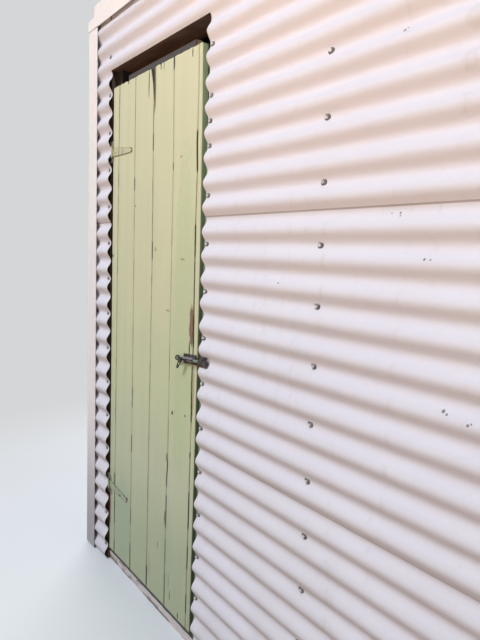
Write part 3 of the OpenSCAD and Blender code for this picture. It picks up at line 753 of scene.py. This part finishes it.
# Painted shade: a little darker towards the top.
tone = trim.blend(trim.rise(trim.z, 1.5, 2.2) * 0.12, tone, (0.60, 0.56, 0.56))
trim.set(Base_Color=tone, Roughness=trim.rise(fine, 0.2, 0.8, 0.45, 0.62),
         Normal=trim.bump(fine, 0.2, 0.0005))
TRIM_NODES = ("corner_trims", "front_capping", "left_barge", "right_barge")
for node in TRIM_NODES:
    finish_node(node, trim.material)
print(len(TRIM_NODES), "trims finished")

# %% [markdown]
# The leaf is six boards. Their joints aren't straight: over the years the boards have
# shrunk and slipped. So each joint is a line through a few points (height, place), and OPEN
# gives where it stands open: from, to and how wide in the middle. The third board has
# split off in a wedge at its top, and the last one leans in above the latch.

# %% Joints between the boards
JOINTS = [
    [(58, 82), (351, 82), (1200, 83), (1995, 88), (2072, 88)],
    [(58, 239), (850, 239), (1645, 232), (2034, 229), (2072, 229)],
    [(58, 387), (1381, 386), (1660, 380), (1877, 377), (2072, 377)],
    [(58, 531), (560, 530), (627, 534), (1714, 526), (1823, 523), (2045, 516), (2072, 515)],
    [(58, 685), (864, 686), (961, 682), (1117, 687), (1233, 683), (1499, 679), (1673, 681),
     (1759, 675), (1910, 676), (2072, 671)],
]
OPEN = [
    [(58, 120, 3.0), (200, 351, 2.6), (365, 430, 3.0)],
    [(66, 175, 4.2), (260, 330, 2.4), (580, 649, 3.4), (770, 853, 3.0), (1645, 1691, 3.8)],
    [(66, 150, 3.8), (1381, 1444, 3.0), (1778, 1835, 2.0)],
    [(66, 190, 2.6), (240, 330, 2.2), (375, 500, 4.0), (540, 640, 4.0), (1695, 1714, 2.0),
     (2031, 2074, 4.0)],
    [(120, 190, 2.0), (290, 370, 2.4), (440, 575, 3.4), (831, 1022, 4.4), (1396, 1499, 4.8),
     (1673, 1802, 5.2), (1060, 1400, 2.2)],
]
SPLIT = [(1915, 377.5), (1937, 375), (2017, 365), (2072, 349)]
BOARDS, SPLIT_BOARD, CLOSED = 6, 2, 0.9
BEND_FROM, BEND_TALL, BEND_IN = 1000, 1068, 20


def follow(points, z):
    """The value at height z of a line through points."""
    for (z0, x0), (z1, x1) in zip(points, points[1:]):
        if z <= z1:
            return x0 + (x1 - x0) * max(0.0, (z - z0) / (z1 - z0))
    return points[-1][1]


def gap(joint, z):
    wide = CLOSED
    for low, high, widest in OPEN[joint]:
        t = (2 * z - low - high) / (high - low)
        if abs(t) < 1:
            wide = max(wide, widest * (1 - t ** 4))
    return wide


def board_sides(board, z):
    left, right = DOOR_LEFT, DOOR_RIGHT
    if board:
        left = follow(JOINTS[board - 1], z) + gap(board - 1, z) / 2
    if board < BOARDS - 1:
        right = follow(JOINTS[board], z) - gap(board, z) / 2
        if board == SPLIT_BOARD and z > SPLIT[0][0]:
            right = min(right, follow(SPLIT, z))
    else:
        right -= BEND_IN * (max(0, z - BEND_FROM) / BEND_TALL) ** 2
    return left, right


print("third board at the top:", [round(n) for n in board_sides(SPLIT_BOARD, 2060)])

# %% [markdown]
# A board could be a bevelled box, but its sides bend with the joints. So it is a grid of
# columns and levels in the plane of the door. Its sides follow the joints, its outermost
# columns lie a little back, which eases the arrises, and its top and foot are ragged, with
# a nick at each of two cracks. Extruding the whole grid backwards then gives a closed
# board of full thickness.

# %% Boards of the leaf
SET_BACK = (0.0, 0.5, 0.1, 0.4, 0.0, 0.3)
ARRIS_WIDE, ARRIS_DEEP, GRAIN_DEEP = 1.6, 1.5, 0.35
TOP_RAGGED, FOOT_RAGGED, NICKS, NICK_DEEP, NICK_WIDE = 2.2, 2.5, (168, 427), 8, 6


def leaf_boards():
    leaf = bmesh.new()
    for board in range(BOARDS):
        left, right = board_sides(board, 1000)
        inner = max(2, round((right - left) / 12))

        def shape(column, z):
            low, high = board_sides(board, z)
            share = min(1, max(0, (column - 1) / inner))
            x = low + ARRIS_WIDE + (high - low - 2 * ARRIS_WIDE) * share
            y = SET_BACK[board] + GRAIN_DEEP * abs(noise.noise(Vector((x / 9, z / 160, board))))
            if column in (0, inner + 2):
                x, y = (low if column == 0 else high), y + ARRIS_DEEP
            if z > DOOR_TOP:
                z += TOP_RAGGED * noise.noise(Vector((x / 7, board, 0.5)))
                z -= NICK_DEEP * max(0, *(1 - abs(x - nick) / NICK_WIDE for nick in NICKS))
            elif z == DOOR_FOOT:
                z += FOOT_RAGGED * abs(noise.noise(Vector((x / 11, board, 1.5))))
            return x, y, z

        plank = grid(range(inner + 3), spaced(DOOR_FOOT, DOOR_TOP + 2, 10.5), shape)
        bmesh.ops.recalc_face_normals(plank, faces=plank.faces)
        made = bmesh.ops.extrude_face_region(plank, geom=plank.faces[:])
        for v in (g for g in made["geom"] if isinstance(g, bmesh.types.BMVert)):
            v.co.y = BOARD_T
        bmesh.ops.recalc_face_normals(plank, faces=plank.faces)
        merge(leaf, plank)
    return leaf


leaf = leaf_boards()
print("leaf of", BOARDS, "boards,", len(leaf.faces), "faces")

# %% [markdown]
# The door's paint is lost in many places, some down to red undercoat or brown wood, some
# only stained or faded. A painted mask would need an image. A list does as well: each row
# of MARKS is an ellipse with its middle, its half width and half height in millimetres, its
# colour and how strongly it shows. The noise that comes with it makes its edge ragged.

# %% Marks on the door
BARE, RED, TAN = (0.16, 0.10, 0.065), (0.20, 0.085, 0.06), (0.40, 0.31, 0.19)
DARK, BLUE, PALE_GREEN = (0.03, 0.022, 0.018), (0.33, 0.47, 0.35), (0.50, 0.60, 0.345)
CHALK, OLD_WHITE, DAMP = (0.75, 0.74, 0.70), (0.72, 0.70, 0.66), (0.26, 0.17, 0.13)
MARKS = [
    (612, 1150, 62, 560, PALE_GREEN, 0.45), (673, 1165, 14, 66, RED, 0.9),
    (683, 1150, 4, 55, DARK, 0.7), (687, 1104, 3.2, 16, DARK, 0.95),
    (662, 1081, 3.6, 22, DARK, 0.95), (579, 1732, 7, 5, BARE, 0.4), (243, 1582, 4, 4, DARK, 0.6),
    (410, 1417, 6, 8, BARE, 0.5), (603, 1385, 13, 3.5, BARE, 0.5), (510, 1198, 13, 3, BARE, 0.5),
    (559, 830, 4.5, 7, DARK, 1.0), (646, 841, 4, 4, DARK, 0.8), (685, 711, 3.5, 11, DARK, 0.9),
    (40, 1384, 8, 6, DARK, 0.7), (64, 348, 6, 9, CHALK, 0.9), (693, 940, 5, 76, TAN, 0.8),
    (524, 410, 6, 28, BARE, 0.9), (527, 650, 6, 17, BARE, 0.7), (38, 265, 7, 90, DAMP, 0.95),
    (338, 2024, 3.2, 46, DARK, 0.9), (425, 2062, 4, 10, DARK, 0.7), (168, 2064, 4, 9, DARK, 0.8),
    (446, 2058, 3, 14, DARK, 0.5), (634, 2055, 3, 14, DARK, 0.9), (384, 2000, 6, 76, BARE, 0.95),
    (519, 2048, 3.2, 22, DARK, 0.85), (472, 282, 3, 14, BARE, 0.7), (570, 125, 3, 20, DARK, 0.7),
    (631, 77, 4, 12, DARK, 0.8), (160, 230, 72, 190, BLUE, 0.40), (540, 300, 40, 160, BLUE, 0.2),
    (225, 807, 7, 12, OLD_WHITE, 0.7), (72, 400, 2.2, 42, DARK, 0.8),
    (40, 385, 9, 22, DARK, 0.55), (50, 330, 9, 14, DARK, 0.5), (204, 358, 5, 9, DARK, 0.7),
    (684, 640, 3, 60, BARE, 0.35), (560, 180, 3, 30, BARE, 0.4), (400, 160, 20, 40, BARE, 0.12),
]


def marked(paint, shade, ragged, bare):
    """Lays every mark over the shade; the ones that go through the paint join bare."""
    for x, z, half_wide, half_tall, colour, share in MARKS:
        across, up = paint.from_spot(x, z)
        away = paint.away(across / half_wide, up / half_tall)
        here = paint.rise(away + ragged, 1.25, 0.85) * share
        shade = paint.blend(here, shade, colour)
        if colour in (BARE, RED, TAN, DARK):
            bare = paint.math("MAXIMUM", bare, here)
    return shade, bare


print(len(MARKS), "marks on the door")

# %% [markdown]
# Paint also goes along the joints of the boards. The shader has to know how far a point is
# from a crooked joint. A colour ramp can tell it: its stops are the points of the joint, so
# for each height it gives the joint's x as a shade of grey. Where the joint stands open,
# its edges are dark.


# %% Paint along the joints
def joint_distance(paint, points):
    line = paint.by_height([(z / (RAMP_TOP * 1000), (x / 1000,) * 3) for z, x in points])
    return paint.math("ABSOLUTE", paint.x * 1000.0 + ORIGIN_X - line * 1000.0)


def worn_joints(paint, shade):
    worn = paint.rise(paint.cloud(60.0, 4, 0.65, (1, 1, 0.12)), 0.44, 0.62)
    for points, spans in zip(JOINTS, OPEN):
        away = joint_distance(paint, points)
        shade = paint.blend(paint.rise(away, 4.6, 1.2) * (worn * 0.55 + 0.33), shade, BARE)
        for low, high, widest in spans:
            within = paint.band(paint.z, low / 1000 - 0.01, low / 1000 + 0.006,
                                high / 1000 - 0.006, high / 1000 + 0.01)
            edge = paint.rise(away, widest / 2 + 3.2, widest / 2 + 1.0) * within
            shade = paint.blend(edge * 0.95, shade, DARK)
    return shade


print("joints to paint:", len(JOINTS))

# %% [markdown]
# The paint itself is pale green, more yellow at the top where it has bleached, and bluer
# and darker at the foot, partly from weathering and partly as painted shade, with faint
# streaks down the grain. The sides of the boards inside their joints and the foot of the
# leaf are painted dark as painted shade, and the latch side of the leaf gets the darker
# green of painted shade. The ledges and braces behind have the same paint. The front of
# the top ledge, which shows over the boards, has lost it, and its bare wood is painted near
# black, partly as painted shade.

# %% Finish of the door
# Darker towards the foot: partly weathering, partly painted shade.
GREENS_WITH_PAINTED_SHADE = [(0.136, (0.49, 0.545, 0.375)), (0.245, (0.59, 0.63, 0.45)),
          (0.409, (0.64, 0.68, 0.445)), (0.568, (0.69, 0.695, 0.47)),
          (0.918, (0.665, 0.67, 0.47))]
STREAKED, CLOUDED = (0.84, 0.90, 0.84), (0.88, 0.92, 0.95)
BARE_LEDGE_FRONT_IN_SHADE, BARE_LEDGE_TOP_IN_SHADE = (0.022, 0.014, 0.011), (0.060, 0.051, 0.050)


def door_paint(name, ledge=False):
    paint = Finish(name, Metallic=0.0)
    green = paint.by_height(GREENS_WITH_PAINTED_SHADE)
    streaks = paint.cloud(30.0, 5, 0.65, (1, 1, 0.04))
    fine = paint.cloud(260.0, 4, 0.6, (1, 1, 0.08))
    broad = paint.cloud(4.0, 4, 0.6)
    ragged = (paint.cloud(110.0, 4, 0.7, (1, 1, 0.4)) - 0.5) * 1.4
    streaked = paint.blend(1.0, green, STREAKED, "MULTIPLY")
    shade = paint.blend(paint.rise(streaks, 0.35, 0.65) * 0.30, green, streaked)
    clouded = paint.blend(1.0, green, CLOUDED, "MULTIPLY")
    shade = paint.blend(paint.rise(broad, 0.45, 0.7) * 0.22, shade, clouded)
    lost = paint.rise(fine, 0.70, 0.76) * paint.rise(paint.cloud(7.0, 3), 0.50, 0.62)
    shade = worn_joints(paint, paint.blend(lost * 0.45, shade, BARE))
    shade, bare = marked(paint, shade, ragged, lost * 0.3)
    # Painted shade: the sides of the boards inside their joints.
    shaded_joint_sides = paint.band(paint.y, -1.1672, -1.1650, -1.150, -1.1475)
    shade = paint.blend(shaded_joint_sides * paint.rise(paint.x, -0.925, -0.935) * 0.92, shade, DARK)
    # Painted shadow along the foot of the leaf.
    shade = paint.blend(paint.rise(paint.z, 0.064, 0.059) * 0.8, shade, DARK)
    # Painted shade: the latch side of the leaf takes the darker green by height.
    shaded_latch_side = paint.band(paint.y, -1.1675, -1.1660, -1.1475, -1.1455)
    shaded_latch_side = shaded_latch_side * paint.rise(paint.x, -0.935, -0.930)
    shade = paint.blend(shaded_latch_side * 0.92, shade, paint.by_height(GREEN_IN_PAINTED_SHADE))
    if ledge:
        # The top ledge's front is bare wood, painted near black partly as painted shade, a little
        # greyer at its top.
        bare_front = paint.rise(paint.y, -1.141, -1.145) * paint.rise(paint.z, 1.90, 1.91)
        bare_ledge_in_shade = paint.blend(paint.rise(paint.z, 2.058, 2.066), BARE_LEDGE_FRONT_IN_SHADE, BARE_LEDGE_TOP_IN_SHADE)
        shade = paint.blend(bare_front, shade, bare_ledge_in_shade)
    rough = paint.rise(fine, 0.2, 0.8, 0.50, 0.64) + bare * 0.2
    paint.set(Base_Color=shade, Roughness=rough,
              Normal=paint.bump(fine * 0.4 - bare * 0.8 + streaks * 0.3, 0.35, 0.0008))
    return paint.material


make_piece("leaf_boards", leaf, [door_paint("leaf_paint")], "door",
           ["door_boards"], sharp=50.0)
ledge_paint = door_paint("ledge_paint", ledge=True)
for node in ("door_ledges", "door_braces"):
    finish_node(node, ledge_paint)

# %% [markdown]
# The sill is a worn board that was once white. Its paint has gone in patches along the
# grain, more of them near its foot, and its upper edge, under the door, is painted dark as
# the painted shadow of the gap.

# %% Finish of the sill
sill_wood = Finish("sill_paint", Metallic=0.0)
grain = sill_wood.cloud(120.0, 5, 0.65, (0.06, 1, 1))
patch = sill_wood.cloud(26.0, 5, 0.7, (0.25, 1, 1))
foot = sill_wood.rise(sill_wood.z, 0.022, 0.004)
bare = sill_wood.rise(patch + foot * 0.10, 0.54, 0.66)
tone = sill_wood.blend(sill_wood.rise(grain, 0.3, 0.7), (0.66, 0.61, 0.62), (0.86, 0.81, 0.82))
tone = sill_wood.blend(bare * 0.85, tone, (0.20, 0.15, 0.12))
# Painted shadow of the gap under the door.
door_gap_shadow = sill_wood.rise(sill_wood.z, 0.0340, 0.0375)
tone = sill_wood.blend(door_gap_shadow * 0.95, tone, (0.03, 0.024, 0.02))
sill_wood.set(Base_Color=tone, Roughness=sill_wood.rise(grain, 0.2, 0.8, 0.6, 0.85),
              Normal=sill_wood.bump(grain - bare * 0.7, 0.6, 0.0015))
print("sill finish ready")

# %% [markdown]
# The sill's front edge is splintered. A bump would not show against the light, so the block
# is cut into short lengths and thin layers, and the points of its front face are pushed
# about by noise. It starts from the box of the part that it replaces, so it fits there.

# %% Sill
FACE_BAND, SPLINTER = 9.1, 2.6
corner, far_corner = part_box("door_sill")
middle, size = (corner + far_corner) / 2, far_corner - corner
sill = bmesh.new()
bmesh.ops.create_cube(sill, size=1.0,
                      matrix=Matrix.Translation(middle) @ Matrix.Diagonal((*size, 1)))
sill.transform(HOME.inverted())
cuts = [((x, 0, 0), (1, 0, 0)) for x in spaced(20, 732, 9)]
cuts += [((0, 0, z), (0, 0, 1)) for z in (8, 18, 28, 38, 46, 49.5)]
cuts += [((0, 12, 0), (0, 1, 0))]
for spot, normal in cuts:
    bmesh.ops.bisect_plane(sill, geom=everything(sill), plane_co=spot, plane_no=normal)
for v in sill.verts:
    if v.co.y < FACE_BAND:
        v.co.y += SPLINTER * max(0, 0.25 + noise.noise(Vector((v.co.x / 34, v.co.z / 9, 3))))
make_piece("worn_sill", sill, [sill_wood.material], "hut", ["door_sill"], sharp=50)

# %% [markdown]
# The hinges were painted green with the door, thickly, and the paint has come off along
# their edges, at the tips of the straps and across each strap in two cracks. Where a strap's
# sides meet the leaf a dark line is painted shade, and left of the pins the plates in the
# iron's hollows are painted pale as painted light. The straps droop from their pins. So the
# shader first works out where a point lies along and across its own strap, and then how far
# inside the strap's edge it is.

# %% Finish of the hinges
PIN_X = 31.5
DROOPS = ((1813.0, math.radians(3.5)), (366.0, math.radians(5.0)))
STRAP_ROOT, STRAP_TIP, STRAP_LONG = 38.0, 18.0, 176.0
CRACKS = ((62.0, 4.0), (97.0, 3.5))
hinge = Finish("hinge_green", Metallic=0.0)
lumps, fine = hinge.cloud(90.0, 4, 0.65), hinge.cloud(400.0, 3, 0.6)
green = hinge.by_height([(0.2, (0.42, 0.48, 0.34)), (0.8, (0.60, 0.60, 0.39))])
gone = hinge.rise(lumps, 0.60, 0.66)
speckled = hinge.blend(1.0, green, (0.8, 0.84, 0.8), "MULTIPLY")
tone = hinge.blend(hinge.rise(fine, 0.3, 0.7) * 0.4, green, speckled)
tone = hinge.blend(gone * 0.85, tone, (0.085, 0.060, 0.045))
# Painted light: left of the pins the plates, deep in the iron's hollows, are painted pale.
tone = hinge.blend(hinge.rise(hinge.x, -1.588, -1.590), tone, (0.86, 0.92, 0.78))
# Painted crevice shade along the strap's sides next to the leaf; the worn edges below are real
# wear.
edges = hinge.rise(hinge.y, -1.1702, -1.1690) * hinge.rise(hinge.x, -1.580, -1.578)
dashes = hinge.rise(hinge.cloud(75.0, 3, 0.6), 0.42, 0.52)
for pin_z, droop in DROOPS:
    out, up = hinge.from_spot(PIN_X, pin_z)
    along = out * math.cos(droop) - up * math.sin(droop)
    across = hinge.math("ABSOLUTE", out * math.sin(droop) + up * math.cos(droop))
    inset = STRAP_ROOT / 2 - along * ((STRAP_ROOT - STRAP_TIP) / 2 / STRAP_LONG) - across
    near = hinge.rise(hinge.math("ABSOLUTE", up), 75, 70)
    worn_edge = hinge.rise(inset, 2.6, 1.3) * (dashes * 0.5 + hinge.rise(up, 2, -2) * 0.5)
    worn_tip = hinge.rise(along, STRAP_LONG - 12, STRAP_LONG - 8) * hinge.rise(inset, 8, 5)
    for reach, wide in CRACKS:
        crack = hinge.rise(hinge.math("ABSOLUTE", along - reach), wide, wide - 2.0)
        worn_edge = worn_edge + crack * (dashes * 0.6 + 0.3)
    edges = hinge.math("MAXIMUM", edges, near * hinge.math("MAXIMUM", worn_edge, worn_tip))
edges = hinge.math("MINIMUM", edges, 1.0)
tone = hinge.blend(edges * 0.85, tone, (0.05, 0.040, 0.032))
hinge.set(Base_Color=tone, Roughness=hinge.rise(fine, 0.2, 0.8, 0.42, 0.6) + gone * 0.15,
          Normal=hinge.bump(lumps - gone * 0.4, 0.4, 0.0008))
for at in ("upper", "lower"):
    for part in ("plate", "strap"):
        finish_node(f"{at}_hinge_{part}", hinge.material)
print("hinges finished, their pins at heights", [z for z, _ in DROOPS])

# %% [markdown]
# Each hinge plate and each strap has three round screw heads under the same paint. Two
# cones on each other, the upper one flatter, are enough of a dome at this size.

# %% Screw heads of the hinges
HEAD_FOOT = -1.9
DOME = ((1.0, 0.9, 0.3), (0.9, 0.4, 1.1))


def round_heads(name, spots, body, radius):
    bm = bmesh.new()
    for x, z in spots:
        home = Matrix.Translation((x, HEAD_FOOT, z)) @ Matrix.Rotation(math.pi / 2, 4, "X")
        for low, high, middle in DOME:
            bmesh.ops.create_cone(bm, cap_ends=True, segments=12, radius1=radius * low,
                                  radius2=radius * high, depth=0.8,
                                  matrix=home @ Matrix.Translation((0, 0, middle)))
    make_piece(name, bm, [hinge.material], body)


strap_heads = [(PIN_X + reach * math.cos(droop), z - reach * math.sin(droop))
               for z, droop in DROOPS for reach in (24, 108, 150)]
round_heads("strap_screws", strap_heads, "door", 4.2)
plate_heads = [(x, z + up) for z, _ in DROOPS for x, up in ((3, 34), (-4, 0), (3, -34))]
round_heads("plate_screws", plate_heads, "hut", 3.6)

# %% [markdown]
# The barrel bolt is old steel, almost black where it is rusty and grey where use has rubbed
# it. Its barrel has a painted highlight, a pale band of sky light above its axis, and a
# warm band of painted light from below under it. The end of the rod still has some of the
# door's green. The bolt leans a little, so the bands are measured from its own axis.

# %% Bolt and pins
BOLT_SPOT, BOLT_SLOPE = (746.0, 1053.0), 0.0699
PAINTED_SKY_HIGHLIGHT, PAINTED_BOUNCE_LIGHT, OLD_GREEN = (0.33, 0.30, 0.35), (0.28, 0.21, 0.155), (0.26, 0.32, 0.26)


def old_steel(name, dark, worn, rust, green=False, light_bands=False):
    metal = Finish(name, Metallic=0.55)
    wear, fine = metal.cloud(70.0, 4, 0.65), metal.cloud(500.0, 3, 0.65)
    rusty = metal.rise(metal.cloud(35.0, 4, 0.65, shift=(2, 0, 1)), 0.50, 0.62)
    shade = metal.blend(metal.rise(wear, 0.48, 0.64), dark, worn)
    shade = metal.blend(rusty * 0.75, shade, rust)
    if light_bands:
        along, up = metal.from_spot(*BOLT_SPOT)
        off_axis = up - along * BOLT_SLOPE
        barrel = metal.rise(metal.x, -0.905, -0.909) * metal.rise(metal.y, -1.1705, -1.1720)
        # Painted highlight above the axis and painted warm light below it.
        sky_highlight = metal.band(off_axis, 3.0, 4.5, 8.0, 9.5) * barrel
        shade = metal.blend(sky_highlight * 0.8, shade, PAINTED_SKY_HIGHLIGHT)
        bounce_band = metal.band(off_axis, -9.0, -7.5, -2.0, -0.5) * barrel
        shade = metal.blend(bounce_band * 0.65, shade, PAINTED_BOUNCE_LIGHT)
    if green:
        painted = metal.band(metal.x, -0.911, -0.907, -0.879, -0.874)
        shade = metal.blend(painted * 0.85, shade, OLD_GREEN)
    metal.set(Base_Color=shade, Roughness=metal.rise(fine, 0.2, 0.8, 0.40, 0.62) + rusty * 0.2,
              Normal=metal.bump(fine + rusty * 0.6, 0.4, 0.0004))
    return metal.material


bolt_metal = old_steel("bolt_iron", (0.040, 0.029, 0.028), (0.17, 0.15, 0.155),
                       (0.13, 0.058, 0.034), light_bands=True)
rod_metal = old_steel("rod_iron", (0.022, 0.017, 0.017), (0.10, 0.088, 0.09),
                      (0.09, 0.042, 0.025), green=True)
pin_metal = old_steel("pin_iron", (0.07, 0.055, 0.045), (0.24, 0.21, 0.19), (0.14, 0.07, 0.04))
METAL_NODES = {"bolt_base": bolt_metal, "bolt_keeper": bolt_metal, "bolt_rod": rod_metal,
               "hinge_pins": pin_metal}
for node, material in METAL_NODES.items():
    finish_node(node, material)
print(len(METAL_NODES), "steel parts finished")

# %% [markdown]
# The new pieces may stand a little outside the packed model, as screw heads do.
